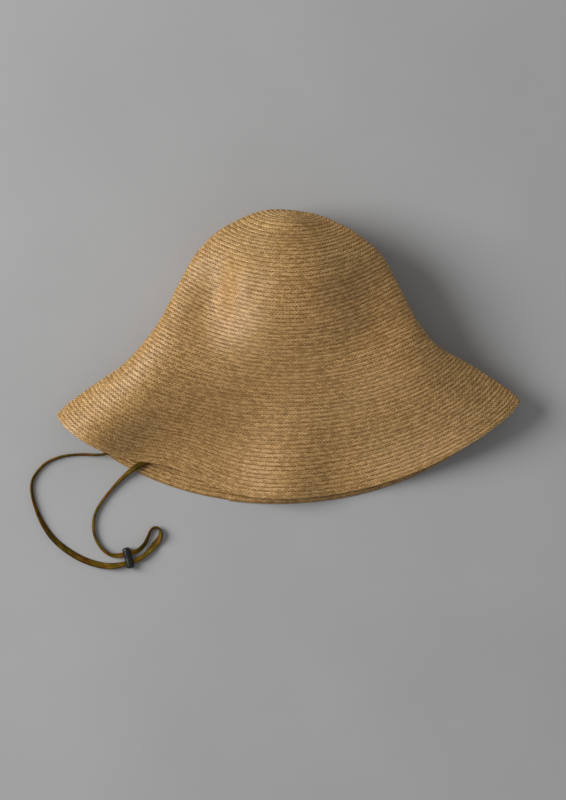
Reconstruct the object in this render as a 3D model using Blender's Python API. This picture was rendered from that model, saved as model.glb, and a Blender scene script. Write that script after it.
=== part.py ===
"""A straw sun hat laid down on its side, with its chin cord and the cord's sliding bead.

The hat is one long flat braid sewn in a spiral from the tip of the crown to the edge of the
brim. It lies on the floor, z = 0, with its tip towards +Y and its mouth towards -Y. The
crown has sunk a little under its own weight, and the two layers of the brim lie one over
the other, joined by a rounded fold at each side. The chin cord comes out between them.

Places on the hat are given as a distance from the tip, measured along the straw, and an
angle round it: 0 is the left fold, 90 the middle of the upper (front) layer, 180 the right
fold and 270 the middle of the lower (back) layer, which rests on the floor.
"""

import math

import bmesh
import bpy
import numpy as np
from mathutils import Vector

MM = 0.001

# ---------------------------------------------------------------- driving dimensions, in mm

TIP_TO_EDGE = 316.0  # along the straw, tip of the crown to the edge of the brim
HEAD_LINE = 190.0  # distance from the tip where the crown ends: a 56 cm head fits inside
STRAW = 2.0  # thickness of the sewn braid
SEAM_GAP = 0.3  # between pieces that touch
AROUND = 48  # facets round the hat

SWEATBAND_WIDTH = 30.0
SWEATBAND_THICKNESS = 1.0
SWEATBAND_DEPTH = STRAW + 0.4  # below the hat's outer face, to the ribbon's near face
SEWN_ON_DEPTH = SWEATBAND_DEPTH + SWEATBAND_THICKNESS + 0.4  # for what is sewn to the ribbon
LABEL_THICKNESS = 0.6
JOIN_THICKNESS = 1.0
TAB_THICKNESS = 3.6
TAB_DEPTH = SEWN_ON_DEPTH + 0.4  # the hat curves more sharply under the tabs
TAB_LENGTH = 16.0
TAB_ABOVE_HEAD_LINE = 4.0  # how far a cord tab stops short of the head line

CORD_DIAMETER = 3.0  # the plain tube that stands for the flat lace
CORD_POINTS = 80
CORD_BEND_RADIUS = 14.0  # bends of this radius get twice as many points as straight runs

BEAD_LENGTH = 19.5
BEAD_DIAMETER = 7.6
BEAD_CENTRE = (-146.7, -186.1, 4.2)
BEAD_HOLE_ANGLE = 15.0  # direction of the two holes, from +X towards +Y, in degrees
BEAD_HOLE_SPACING = 8.4
BEAD_HOLE_WIDTH = 4.9
BEAD_HOLE_HEIGHT = 3.7
BEAD_END_ROUNDING = 2.4

# ------------------------------------------------- the laid-down hat: (distance from tip, mm)

HALF_WIDTH = [(0, 0), (31, 30), (47, 46.5), (64, 62), (96, 84.5), (129, 98.5), (178, 119),
              (228, 148.5), (277, 186), (300, 203), (316, 212)]
MIDDLE_X = [(0, 9), (12, 4), (31, 1.5), (47, 0), (64, -1), (110, 0), (316, 0)]
FOLD_Y = [(0, 130.5), (15, 130.5), (31, 127.5), (47, 120.5), (64, 112), (96, 91), (129, 66.5),
          (178, 28.5), (211, 6), (260, -18), (316, -47.5)]
FOLD_Z = [(0, 46), (64, 42.5), (129, 38), (178, 36.5), (228, 30), (277, 19), (316, 15)]
RIGHT_FOLD_UP = [(0, 0), (60, 7), (160, 13), (228, 11.5), (316, 11.5)]
RIGHT_FOLD_AHEAD = [(0, 0), (15, -1.5), (31, -2), (64, -1), (100, 0), (195, 0), (244, 5), (316, 6.5)]
FRONT_Y = [(0, 130.5), (31, 121), (47, 107.5), (64, 95.5), (96, 65), (129, 34.5), (178, -6.5),
           (228, -48.5), (277, -95), (316, -132)]
FRONT_Z = [(0, 46), (31, 61), (64, 76), (96, 88), (129, 84), (178, 65), (228, 43), (277, 24),
           (316, 13.5)]
BACK_Y = [(0, 130.5), (15, 132), (30, 130), (45, 119), (60, 106), (316, -136.5)]
BACK_Z = [(0, 46), (15, 29), (30, 12), (45, 3), (60, 0), (316, 0)]

# How the front layer rises from the side folds: 1 leaves them as a round arch, 0 as a low bell.
ARCH = [(0, 1), (64, 0.22), (110, 0.14), (146, 0.45), (178, 0.77), (228, 1.2), (260, 0.9), (316, 0.5)]
SHOULDERS = [(0, -0.3), (150, 0.3), (200, 0.9), (240, 1.05), (277, 0.4), (316, -0.25)]
ROUND_TIP = [(0, 1), (31, 0.8), (64, 0.3), (110, 0), (316, 0)]
SQUARE_ROWS = [(0, 0), (178, 0), (205, 0.2), (228, 0.4), (260, 0.45), (290, 0.3), (316, 0.25)]
FOLD_CORNER = [(0, 0), (200, 0), (240, 12), (316, 22)]  # front rows turn down beside the folds

# Soft dents and swells of the front layer: distance from the tip, place across the hat from
# -1 at the left fold to 1 at the right one, their half-lengths, and the height in mm.
SWELLS = {
    "left crown dent": (132, -0.70, 46, 0.27, -24.5),
    "left crown ridge": (108, -0.52, 27, 0.15, 8.5),
    "right crown dent": (150, 0.75, 47, 0.22, -3.5),
    "right foot of the crown": (230, 0.71, 42, 0.26, 8.5),
    "left wing": (305, -0.94, 74, 0.19, 43),
    "left brim valley": (260, -0.28, 59, 0.35, -13),
    "middle of the brim": (303, -0.01, 40, 0.18, 8),
    "right brim valley": (293, 0.29, 55, 0.22, -8),
    "right wing": (274, 0.93, 64, 0.23, 27.5),
}
# The brim's edge is drawn in over the cord: distance, place across, half-lengths, amount.
EDGE_DRAWN_IN = (316, -0.52, 60, 0.22, 17)
BACK_FLAT = 0.9  # share of the back layer's arch below which it lifts off the floor


# ----------------------------------------------------------------------- the hat's surface


def smooth_curve(points):
    """A cubic through (distance, value) points that never swings past them."""
    at, value = np.array(points, float).T
    step = np.diff(at)
    rise = np.diff(value) / step
    slope = np.concatenate(([rise[0]], np.zeros(len(step) - 1), [rise[-1]]))
    before, after = rise[:-1], rise[1:]
    same_way = before * after > 0
    slope[1:-1][same_way] = (2 * before * after)[same_way] / (before + after)[same_way]

    def value_at(distance):
        d = np.clip(distance, at[0], at[-1])
        i = np.clip(np.searchsorted(at, d, side="right") - 1, 0, len(step) - 1)
        u = (d - at[i]) / step[i]
        ends = value[i] * (1 + 2 * u) * (1 - u) ** 2 + value[i + 1] * u * u * (3 - 2 * u)
        return ends + step[i] * (slope[i] * u * (1 - u) ** 2 + slope[i + 1] * u * u * (u - 1))

    return value_at


half_width = smooth_curve(HALF_WIDTH)
middle_x = smooth_curve(MIDDLE_X)
fold_y = smooth_curve(FOLD_Y)
fold_z = smooth_curve(FOLD_Z)
right_fold_ahead = smooth_curve(RIGHT_FOLD_AHEAD)
right_fold_up = smooth_curve(RIGHT_FOLD_UP)
front_y = smooth_curve(FRONT_Y)
front_z = smooth_curve(FRONT_Z)
back_y = smooth_curve(BACK_Y)
back_z = smooth_curve(BACK_Z)
arch = smooth_curve(ARCH)
shoulders = smooth_curve(SHOULDERS)
round_tip = smooth_curve(ROUND_TIP)
square_rows = smooth_curve(SQUARE_ROWS)
fold_corner = smooth_curve(FOLD_CORNER)


def swell(distance, across, shape):
    at, place, length, width, height = shape
    return height * np.exp(-(((distance - at) / length) ** 2) - ((across - place) / width) ** 2)


def outer_face(distance, angle):
    """Points of the hat's outer face, in mm, for arrays of distance and angle (radians)."""
    s, a = np.broadcast_arrays(np.asarray(distance, float), np.asarray(angle, float))
    across = -np.cos(a)
    lift = np.abs(np.sin(a))
    front = np.sin(a) >= 0
    tip = round_tip(s)

    row_bow = tip * lift + (1 - tip) * lift**2 * (1 + square_rows(s) * (1 - lift**2))
    x = middle_x(s) + half_width(s) * across
    y = fold_y(s) + right_fold_ahead(s) * across
    y = y + (np.where(front, front_y(s), back_y(s)) - fold_y(s)) * row_bow
    corner = swell(s, across, EDGE_DRAWN_IN) * lift - fold_corner(s) * lift * (1 - lift**2) ** 4
    y = y + np.where(front, corner, 0)

    side_z = fold_z(s) + right_fold_up(s) * ((1 + across) / 2) ** 3
    rise = (arch(s) * lift + (1 - arch(s)) * lift**2) * (1 + shoulders(s) * across**2)
    z_front = side_z + (front_z(s) - side_z) * rise
    z_front = z_front + lift * sum(swell(s, across, shape) for shape in SWELLS.values())
    flat = 1 - (1 - np.minimum(1, lift / BACK_FLAT)) ** 2.5
    drop = tip * lift + (1 - tip) * flat
    z_back = side_z - (side_z - back_z(s)) * drop
    return np.stack([x, y, np.where(front, z_front, z_back)], axis=-1)


def outward(distance, angle):
    """Unit normals of the outer face."""
    s = np.clip(distance, 2.0, TIP_TO_EDGE - 0.5)
    along = outer_face(s + 0.5, angle) - outer_face(s - 0.5, angle)
    turn = 0.004
    around = outer_face(s, angle + turn) - outer_face(s, angle - turn)
    normal = np.cross(along, around)
    return normal / np.linalg.norm(normal, axis=-1, keepdims=True)


def below_face(distance, angle, depth):
    """Points a given depth inside the hat's outer face, in mm."""
    return outer_face(distance, angle) - depth * outward(distance, angle)


# ------------------------------------------------------------------------------ mesh helpers


def clear_scene():
    for thing in list(bpy.data.objects):
        bpy.data.objects.remove(thing, do_unlink=True)


def material(name, colour, roughness):
    made = bpy.data.materials.new(name)
    made.use_nodes = True
    shader = made.node_tree.nodes["Principled BSDF"]
    shader.inputs["Base Color"].default_value = (*colour, 1.0)
    shader.inputs["Roughness"].default_value = roughness
    shader.inputs["Metallic"].default_value = 0.0
    return made


def add_object(name, data, finish):
    thing = bpy.data.objects.new(name, data)
    bpy.context.collection.objects.link(thing)
    data.materials.append(finish)
    return thing


def add_from_bmesh(name, shape, finish, smooth=True):
    bmesh.ops.recalc_face_normals(shape, faces=shape.faces)
    data = bpy.data.meshes.new(name)
    shape.to_mesh(data)
    shape.free()
    if smooth:
        data.shade_smooth()
        data.set_sharp_from_angle(angle=math.radians(40))
    return add_object(name, data, finish)


def grid_of_verts(shape, points):
    return [[shape.verts.new(Vector(p) * MM) for p in row] for row in points]


def join_rows(shape, rows, closed):
    """Quads between neighbouring rows of vertices."""
    for upper, lower in zip(rows, rows[1:]):
        count = len(upper)
        for i in range(count if closed else count - 1):
            j = (i + 1) % count
            shape.faces.new((upper[i], upper[j], lower[j], lower[i]))


def ring_shell(name, distances, near, far, finish, closed_tip=False):
    """A band of the hat, from depth near to depth far below the outer face."""
    angles = np.arange(AROUND) * 2 * math.pi / AROUND
    s = np.array(distances, float)[:, None]
    shape = bmesh.new()
    outer = grid_of_verts(shape, below_face(s, angles[None, :], near))
    inner = grid_of_verts(shape, below_face(s, angles[None, :], far))
    join_rows(shape, outer, closed=True)
    join_rows(shape, inner, closed=True)
    join_rows(shape, [outer[-1], inner[-1]], closed=True)
    if closed_tip:
        for rows, depth in ((outer, near), (inner, far)):
            tip = shape.verts.new(Vector(tip_point(depth)) * MM)
            for i in range(AROUND):
                shape.faces.new((rows[0][i], rows[0][(i + 1) % AROUND], tip))
    else:
        join_rows(shape, [outer[0], inner[0]], closed=True)
    return add_from_bmesh(name, shape, finish)


def tip_point(depth):
    normal = outward(2.0, math.radians(90)) + outward(2.0, math.radians(270))
    return outer_face(0.0, 0.0) - depth * normal / np.linalg.norm(normal)


def patch_shell(name, start, end, middle_degrees, width, near, far, finish, rows=3, columns=5):
    """A small piece lying along the hat's inside, width mm wide round the head."""
    half_turn = 0.5 * width / around_per_radian((start + end) / 2, math.radians(middle_degrees))
    angles = math.radians(middle_degrees) + np.linspace(-half_turn, half_turn, columns)
    s = np.linspace(start, end, rows)[:, None]
    shape = bmesh.new()
    outer = grid_of_verts(shape, below_face(s, angles[None, :], near))
    inner = grid_of_verts(shape, below_face(s, angles[None, :], far))
    join_rows(shape, outer, closed=False)
    join_rows(shape, inner, closed=False)
    join_rows(shape, [outer[0], inner[0]], closed=False)
    join_rows(shape, [outer[-1], inner[-1]], closed=False)
    for side in (0, -1):
        join_rows(shape, [[row[side] for row in outer], [row[side] for row in inner]], closed=False)
    return add_from_bmesh(name, shape, finish)


def around_per_radian(distance, angle):
    """Millimetres round the hat for each radian of angle."""
    turn = 0.01
    step = outer_face(distance, angle + turn) - outer_face(distance, angle - turn)
    return float(np.linalg.norm(step)) / (2 * turn)


# ------------------------------------------------------------------------------ the sub-parts


def build_crown(finish):
    """Dome and wall of the crown, from the tip to the head line."""
    upper = [6, 14, 24, 34, 44, 54, 66, 80, 95, 110, 126, 142]
    ring_shell("crown", upper + band_rows() + [HEAD_LINE - SEAM_GAP / 2], 0, STRAW, finish,
               closed_tip=True)


def band_rows():
    """Distances shared by the sweatband and the crown wall it is sewn into."""
    return [HEAD_LINE - 2 - SWEATBAND_WIDTH * part / 3 for part in (3, 2, 1, 0)]


def build_brim(finish):
    """The brim, from the head line to the edge."""
    steps = 11
    start = HEAD_LINE + SEAM_GAP / 2
    rows = [start + (TIP_TO_EDGE - start) * i / steps for i in range(steps + 1)]
    ring_shell("brim", rows, 0, STRAW, finish)


def build_sweatband(finish):
    """A grosgrain ribbon sewn round the inside of the crown just above the head line."""
    ring_shell("sweatband", band_rows(), SWEATBAND_DEPTH,
               SWEATBAND_DEPTH + SWEATBAND_THICKNESS, finish)


def build_sweatband_join(finish):
    """The short tab of ribbon that covers the sweatband's two ends."""
    patch_shell("sweatband_join", band_rows()[0] + 1.5, HEAD_LINE - 3.5, 300, 12, SEWN_ON_DEPTH,
                SEWN_ON_DEPTH + JOIN_THICKNESS, finish)


def build_size_label(finish):
    """A small plain woven label on the sweatband, at the middle of the back."""
    patch_shell("size_label", HEAD_LINE - 27, HEAD_LINE - 9, 270, 24, SEWN_ON_DEPTH,
                SEWN_ON_DEPTH + LABEL_THICKNESS, finish)


def build_cord_tab(side, degrees, finish):
    """A folded tab on the sweatband that one end of the chin cord is sewn into."""
    end = HEAD_LINE - TAB_ABOVE_HEAD_LINE
    patch_shell("cord_tab_" + side, end - TAB_LENGTH, end, degrees, 10, TAB_DEPTH,
                TAB_DEPTH + TAB_THICKNESS, finish)


TAB_ANGLES = {"left": -16.0, "right": 196.0}

# The cord's route, in mm: out of the left tab, between the brim's layers, round on the floor,
# through the bead, round its loop, back through the bead and in to the right tab.
CORD_ROUTE = [
    (-115.0, 16.0, 17.8), (-118.3, 13.2, 15.9), (-122.9, 0.5, 12.3), (-130.9, -28.8, 7.5),
    (-147.2, -62.9, 5.4), (-157.5, -80.5, 5.1), (-165.8, -89.8, 4.9), (-177.6, -91.4, 2.8),
    (-191.4, -91.1, 1.7), (-209.8, -93.5, 1.7), (-224.5, -100.6, 1.7), (-235.5, -117.0, 1.7),
    (-231.8, -140.4, 1.7), (-216.6, -167.5, 1.7), (-192.5, -185.8, 1.7), (-172.0, -192.9, 2.2),
    (-160.6, -193.6, 3.8), (-151.9, -191.9, 4.2), (-143.2, -189.6, 4.2), (-136.2, -186.9, 4.0),
    (-129.5, -181.6, 2.8), (-122.6, -174.4, 1.8), (-117.3, -166.8, 1.7), (-117.4, -160.2, 1.7),
    (-121.7, -157.3, 1.7), (-125.9, -160.2, 1.7), (-128.8, -167.0, 1.9), (-132.0, -174.2, 3.0),
    (-137.4, -179.2, 4.2), (-145.6, -181.4, 4.2), (-154.2, -183.7, 4.2), (-161.5, -184.0, 3.4),
    (-168.8, -180.2, 2.0), (-175.6, -171.5, 1.7), (-179.2, -158.5, 1.7), (-177.3, -145.5, 1.7),
    (-171.0, -134.2, 1.7), (-160.5, -121.2, 1.8), (-151.5, -111.8, 2.8), (-143.6, -105.3, 4.5),
    (-136.0, -100.6, 4.4), (-127.0, -95.8, 4.1), (-95.0, -79.0, 4.0), (-10.0, -54.0, 4.0),
    (40.0, -38.0, 4.1), (84.0, -20.5, 4.6), (106.5, -5.5, 7.4), (114.6, 6.9, 12.9),
    (114.6, 12.9, 18.1), (114.7, 15.8, 21.8),
]


def smooth_route(points, count):
    """Points along a smooth curve through the route's own points, closer together in bends."""
    route = np.array(points, float)
    padded = np.vstack([2 * route[0] - route[1], route, 2 * route[-1] - route[-2]])
    spans = np.linalg.norm(np.diff(padded, axis=0), axis=1)
    knots = np.concatenate([[0], np.cumsum(np.sqrt(spans))])
    dense = []
    for i in range(1, len(padded) - 2):
        p0, p1, p2, p3 = padded[i - 1 : i + 3]
        t0, t1, t2, t3 = knots[i - 1 : i + 3]
        for t in np.linspace(t1, t2, 24, endpoint=False):
            a1 = (p0 * (t1 - t) + p1 * (t - t0)) / (t1 - t0)
            a2 = (p1 * (t2 - t) + p2 * (t - t1)) / (t2 - t1)
            a3 = (p2 * (t3 - t) + p3 * (t - t2)) / (t3 - t2)
            b1 = (a1 * (t2 - t) + a2 * (t - t0)) / (t2 - t0)
            b2 = (a2 * (t3 - t) + a3 * (t - t1)) / (t3 - t1)
            dense.append((b1 * (t2 - t) + b2 * (t - t1)) / (t2 - t1))
    dense = np.array(dense + [route[-1]])
    step = np.diff(dense, axis=0)
    length = np.linalg.norm(step, axis=1)
    heading = step / length[:, None]
    turned = np.arccos(np.clip((heading[1:] * heading[:-1]).sum(axis=1), -1, 1))
    effort = np.concatenate([[0], np.cumsum(length + CORD_BEND_RADIUS * np.append(turned, 0))])
    even = np.linspace(0, effort[-1], count)
    return np.stack([np.interp(even, effort, dense[:, k]) for k in range(3)], axis=1)


def build_chin_cord(finish):
    """The flat lace as a plain tube, doubled through the bead."""
    data = bpy.data.curves.new("chin_cord", "CURVE")
    data.dimensions = "3D"
    data.bevel_depth = CORD_DIAMETER / 2 * MM
    data.bevel_resolution = 2
    data.use_fill_caps = True
    line = data.splines.new("POLY")
    line.points.add(CORD_POINTS - 1)
    for point, place in zip(line.points, smooth_route(CORD_ROUTE, CORD_POINTS)):
        point.co = (*(place * MM), 1.0)
    add_object("chin_cord", data, finish)


def bead_axes():
    turn = math.radians(BEAD_HOLE_ANGLE)
    through = Vector((math.cos(turn), math.sin(turn), 0))
    return through, Vector((math.sin(turn), -math.cos(turn), 0))


def build_cord_slider(finish):
    """A small barrel with two oval holes side by side; its origin is on its sliding line."""
    through, lengthwise = bead_axes()
    centre = Vector(BEAD_CENTRE) * MM
    turn = math.radians(BEAD_HOLE_ANGLE)
    shape = bmesh.new()
    profile = bead_profile()
    rows = []
    for along, radius in profile:
        ring = [(along, radius * math.cos(a), radius * math.sin(a))
                for a in np.linspace(0, 2 * math.pi, 16, endpoint=False)]
        rows.append([shape.verts.new(Vector((y, x, z)) * MM) for x, y, z in ring])
    join_rows(shape, rows, closed=True)
    shape.faces.new(rows[0])
    shape.faces.new(rows[-1])
    bead = add_from_bmesh("cord_slider", shape, finish)
    bead.location = centre
    bead.rotation_euler = (0, 0, turn)
    for side in (-1, 1):
        cutter = hole_cutter("bead_hole_%s" % ("near" if side < 0 else "far"), finish)
        cutter.location = centre + lengthwise * side * BEAD_HOLE_SPACING / 2 * MM
        cutter.rotation_euler = (0, 0, turn)
        cut = bead.modifiers.new(cutter.name, "BOOLEAN")
        cut.operation = "DIFFERENCE"
        cut.object = cutter


def bead_profile():
    """(place along the bead, radius): rounded ends on a straight barrel."""
    half, radius, rounding = BEAD_LENGTH / 2, BEAD_DIAMETER / 2, BEAD_END_ROUNDING
    corner = [(half - rounding + rounding * math.sin(a), radius - rounding + rounding * math.cos(a))
              for a in np.radians((90, 60, 30, 0))]
    return [(-x, r) for x, r in corner] + [(x, r) for x, r in reversed(corner)]


def hole_cutter(name, finish):
    """An oval bar along X that cuts one hole through the bead."""
    half_flat = (BEAD_HOLE_WIDTH - BEAD_HOLE_HEIGHT) / 2
    radius = BEAD_HOLE_HEIGHT / 2
    outline = []
    for side, first in ((1, -90), (-1, 90)):
        for step in range(7):
            a = math.radians(first + 30 * step)
            outline.append((side * half_flat + radius * math.cos(a), radius * math.sin(a)))
    shape = bmesh.new()
    rows = [[shape.verts.new(Vector((x, y, z)) * MM) for y, z in outline]
            for x in (-BEAD_DIAMETER, BEAD_DIAMETER)]
    join_rows(shape, rows, closed=True)
    shape.faces.new(rows[0])
    shape.faces.new(rows[1])
    cutter = add_from_bmesh(name, shape, finish, smooth=False)
    cutter.hide_render = True
    cutter.display_type = "WIRE"
    return cutter


def main():
    clear_scene()
    straw = material("straw braid", (0.37, 0.22, 0.085), 0.75)
    ribbon = material("grosgrain ribbon", (0.33, 0.21, 0.10), 0.85)
    label = material("woven label", (0.75, 0.70, 0.60), 0.80)
    lace = material("suede lace", (0.105, 0.055, 0.010), 0.80)
    bead = material("bead plastic", (0.012, 0.016, 0.012), 0.35)

    build_crown(straw)
    build_brim(straw)
    build_sweatband(ribbon)
    build_sweatband_join(ribbon)
    build_size_label(label)
    for side, degrees in TAB_ANGLES.items():
        build_cord_tab(side, degrees, ribbon)
    build_chin_cord(lace)
    build_cord_slider(bead)


main()
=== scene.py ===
"""The looks of a straw sun hat laid down on its side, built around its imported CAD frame.

The hat is one spiral of sewn straw braid. Places on it are a distance from the tip along the
straw and an angle round it: 0 is the left fold, 90 the middle of the upper layer, 180 the right
fold and 270 the middle of the lower layer. Lengths are in mm until a mesh is made.
"""

import math

import bpy
import numpy as np
from mathutils import Matrix, Vector


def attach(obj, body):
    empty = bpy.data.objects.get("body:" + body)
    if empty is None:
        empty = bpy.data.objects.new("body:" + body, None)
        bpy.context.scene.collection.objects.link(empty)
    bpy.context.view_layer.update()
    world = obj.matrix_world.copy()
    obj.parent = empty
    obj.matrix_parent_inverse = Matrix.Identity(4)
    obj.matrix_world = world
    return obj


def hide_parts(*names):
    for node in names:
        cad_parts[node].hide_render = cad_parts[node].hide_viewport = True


MM = 0.001

# ------------------------------------------------------------------- the hat, as in the CAD

# Most values in FOLD_Z, RIGHT_FOLD_UP, FRONT_Z, ARCH, SHOULDERS and SWELLS came from a program that
# fitted the hat's shading to the photo, and were rounded.
TIP_TO_EDGE = 316.0
HEAD_LINE = 190.0
STRAW = 2.0
HALF_WIDTH = [(0, 0), (31, 30), (47, 46.5), (64, 62), (96, 84.5), (129, 98.5), (178, 119),
              (228, 148.5), (277, 186), (300, 203), (316, 212)]
MIDDLE_X = [(0, 9), (12, 4), (31, 1.5), (47, 0), (64, -1), (110, 0), (316, 0)]
FOLD_Y = [(0, 130.5), (15, 130.5), (31, 127.5), (47, 120.5), (64, 112), (96, 91), (129, 66.5),
          (178, 28.5), (211, 6), (260, -18), (316, -47.5)]
FOLD_Z = [(0, 46), (64, 42.5), (129, 38), (178, 36.5), (228, 30), (277, 19), (316, 15)]
RIGHT_FOLD_UP = [(0, 0), (60, 7), (160, 13), (228, 11.5), (316, 11.5)]
RIGHT_FOLD_AHEAD = [(0, 0), (15, -1.5), (31, -2), (64, -1), (100, 0), (195, 0), (244, 5), (316, 6.5)]
FRONT_Y = [(0, 130.5), (31, 121), (47, 107.5), (64, 95.5), (96, 65), (129, 34.5), (178, -6.5),
           (228, -48.5), (277, -95), (316, -132)]
FRONT_Z = [(0, 46), (31, 61), (64, 76), (96, 88), (129, 84), (178, 65), (228, 43), (277, 24),
           (316, 13.5)]
BACK_Y = [(0, 130.5), (15, 132), (30, 130), (45, 119), (60, 106), (316, -136.5)]
BACK_Z = [(0, 46), (15, 29), (30, 12), (45, 3), (60, 0), (316, 0)]
ARCH = [(0, 1), (64, 0.22), (110, 0.14), (146, 0.45), (178, 0.77), (228, 1.2), (260, 0.9), (316, 0.5)]
SHOULDERS = [(0, -0.3), (150, 0.3), (200, 0.9), (240, 1.05), (277, 0.4), (316, -0.25)]
ROUND_TIP = [(0, 1), (31, 0.8), (64, 0.3), (110, 0), (316, 0)]
SQUARE_ROWS = [(0, 0), (178, 0), (205, 0.2), (228, 0.4), (260, 0.45), (290, 0.3), (316, 0.25)]
FOLD_CORNER = [(0, 0), (200, 0), (240, 12), (316, 22)]
SWELLS = {
    "left crown dent": (132, -0.70, 46, 0.27, -24.5),
    "left crown ridge": (108, -0.52, 27, 0.15, 8.5),
    "right crown dent": (150, 0.75, 47, 0.22, -3.5),
    "right foot of the crown": (230, 0.71, 42, 0.26, 8.5),
    "left wing": (305, -0.94, 74, 0.19, 43),
    "left brim valley": (260, -0.28, 59, 0.35, -13),
    "middle of the brim": (303, -0.01, 40, 0.18, 8),
    "right brim valley": (293, 0.29, 55, 0.22, -8),
    "right wing": (274, 0.93, 64, 0.23, 27.5),
}
EDGE_DRAWN_IN = (316, -0.52, 60, 0.22, 17)
BACK_FLAT = 0.9

# The chin cord's route, as in the CAD, and its real section: a flat lace that twists.
CORD_ROUTE = [
    (-115.0, 16.0, 17.8), (-118.3, 13.2, 15.9), (-122.9, 0.5, 12.3), (-130.9, -28.8, 7.5),
    (-147.2, -62.9, 5.4), (-157.5, -80.5, 5.1), (-165.8, -89.8, 4.9), (-177.6, -91.4, 2.8),
    (-191.4, -91.1, 1.7), (-209.8, -93.5, 1.7), (-224.5, -100.6, 1.7), (-235.5, -117.0, 1.7),
    (-231.8, -140.4, 1.7), (-216.6, -167.5, 1.7), (-192.5, -185.8, 1.7), (-172.0, -192.9, 2.2),
    (-160.6, -193.6, 3.8), (-151.9, -191.9, 4.2), (-143.2, -189.6, 4.2), (-136.2, -186.9, 4.0),
    (-129.5, -181.6, 2.8), (-122.6, -174.4, 1.8), (-117.3, -166.8, 1.7), (-117.4, -160.2, 1.7),
    (-121.7, -157.3, 1.7), (-125.9, -160.2, 1.7), (-128.8, -167.0, 1.9), (-132.0, -174.2, 3.0),
    (-137.4, -179.2, 4.2), (-145.6, -181.4, 4.2), (-154.2, -183.7, 4.2), (-161.5, -184.0, 3.4),
    (-168.8, -180.2, 2.0), (-175.6, -171.5, 1.7), (-179.2, -158.5, 1.7), (-177.3, -145.5, 1.7),
    (-171.0, -134.2, 1.7), (-160.5, -121.2, 1.8), (-151.5, -111.8, 2.8), (-143.6, -105.3, 4.5),
    (-136.0, -100.6, 4.4), (-127.0, -95.8, 4.1), (-95.0, -79.0, 4.0), (-10.0, -54.0, 4.0),
    (40.0, -38.0, 4.1), (84.0, -20.5, 4.6), (106.5, -5.5, 7.4), (114.6, 6.9, 12.9),
    (114.6, 12.9, 18.1), (114.7, 15.8, 21.8),
]
LACE_WIDTH = 6.2
LACE_THICKNESS = 1.4
LACE_SPACING = 1.5  # between its sections
ABOVE_FLOOR = 0.02
ABOVE_STRAW = 0.2

# ------------------------------------------------------------------------------ the braid

ROW = 4.1  # visible width of one row
TUCK = 1.2  # how far each row reaches under the one before it
PLAIT = 3.1  # length of one plait along the braid
END_ANGLE = 285.0  # of the braid's cut end, in degrees
END_OVERLAP = 0.8  # of a turn: the last stretch runs level along the edge, sliding under
PLAIT_RELIEF = 0.12
LEAN = 1.1  # how far a float of the plait leans along the braid, end to end
SCALLOP = 0.12  # how far the plaits swing the braid's free edge out and in
CENTRE = 0.3  # how near to the tip the braid starts
SLIDES_UNDER_BY = 0.95  # how much deeper the braid's end lies after a whole turn

# One section of the braid: (distance from the row's top edge, depth below the hat's face,
# share of the plait's relief, share of the scallop). Neighbouring floats of the plait rise and
# sink in turn. The outer face runs from the tucked edge to the free one, the inner face back.
OUTER_SECTION = [(-TUCK, 1.12, 0.0, 0), (0.1, 0.66, 0.0, 0), (0.5, 0.40, 1.0, 0),
                 (1.9, 0.14, -1.0, 0), (3.3, 0.15, 1.0, 0), (3.95, 0.33, 0.5, 1),
                 (4.1, 0.60, 0.0, 1)]
INNER_SECTION = [(2.9, 1.00, 0.0, 0), (2.6, 1.62, -0.6, 0), (1.1, 1.84, 1.0, 0),
                 (-0.9, 1.93, -0.6, 0), (-TUCK, 1.70, 0.0, 0)]

# --------------------------------------------------------------- how the lace lies; the bead

# How the lace lies: (share of its length, degrees from flat, share of its full width). It
# stands on edge in its bends, folded narrower, and is squeezed in the bead.
LACE_LIE = [(0.0, 0, 1), (0.11, 10, 1), (0.145, 66, 0.8), (0.16, 70, 0.62), (0.25, 68, 0.62),
            (0.27, 58, 0.75), (0.29, 46, 0.9), (0.31, 42, 1), (0.325, 34, 1), (0.345, 28, 1),
            (0.378, 26, 1), (0.39, 26, 0.85), (0.398, 8, 0.68), (0.412, 8, 0.68), (0.422, 45, 0.85),
            (0.436, 14, 1), (0.448, 56, 1), (0.458, 74, 0.8), (0.471, 74, 0.75), (0.479, 62, 0.9),
            (0.487, 50, 0.95), (0.496, 34, 0.75), (0.503, 8, 0.68), (0.516, 8, 0.68),
            (0.525, 50, 0.75), (0.535, 64, 0.7), (0.549, 70, 0.62), (0.60, 70, 0.62), (0.628, 56, 0.85),
            (0.648, 38, 1), (0.665, 20, 1), (0.69, 0, 1), (1.0, 0, 1)]

BEAD_CENTRE = (-146.7, -186.1, 4.2)
BEAD_LENGTH = 19.5
BEAD_RADIUS = 3.75
BEAD_TURN = 15.0  # of the holes, from +X towards +Y, in degrees
BEAD_HOLE_SPACING = 8.4
BEAD_HOLE = (5.0, 3.2)  # width and height of each oval hole

# ------------------------------------------------------------ sizes of what is inside the hat

BAND_ROWS = (HEAD_LINE - 32.0, HEAD_LINE - 2.0)  # the sweatband's two edges
BAND_NEAR, BAND_FAR = 2.4, 3.4  # depths of the sweatband's faces
SEWN_ON_NEAR = 3.8
TAB_NEAR = 4.2
RIB = 0.9  # of the grosgrain, rib to rib
RIB_RELIEF = 0.09
TAB_ANGLES = {"left": -16.0, "right": 196.0}
TAB_ABOVE_HEAD_LINE = 4.0
TAB_HALF_WIDTH = 5.0
TAB_THICKNESS = 1.0
TAB_GAP = 1.6  # between the tab's two layers, where the lace's end is held
LABEL_ROWS = (HEAD_LINE - 27.0, HEAD_LINE - 9.0)
LABEL_WIDTH = 24.0
LABEL_ANGLE = 270.0
JOIN_WIDTH = 12.0
JOIN_ANGLE = 300.0

# --------------------------------------------------------------------------- the studio

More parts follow.
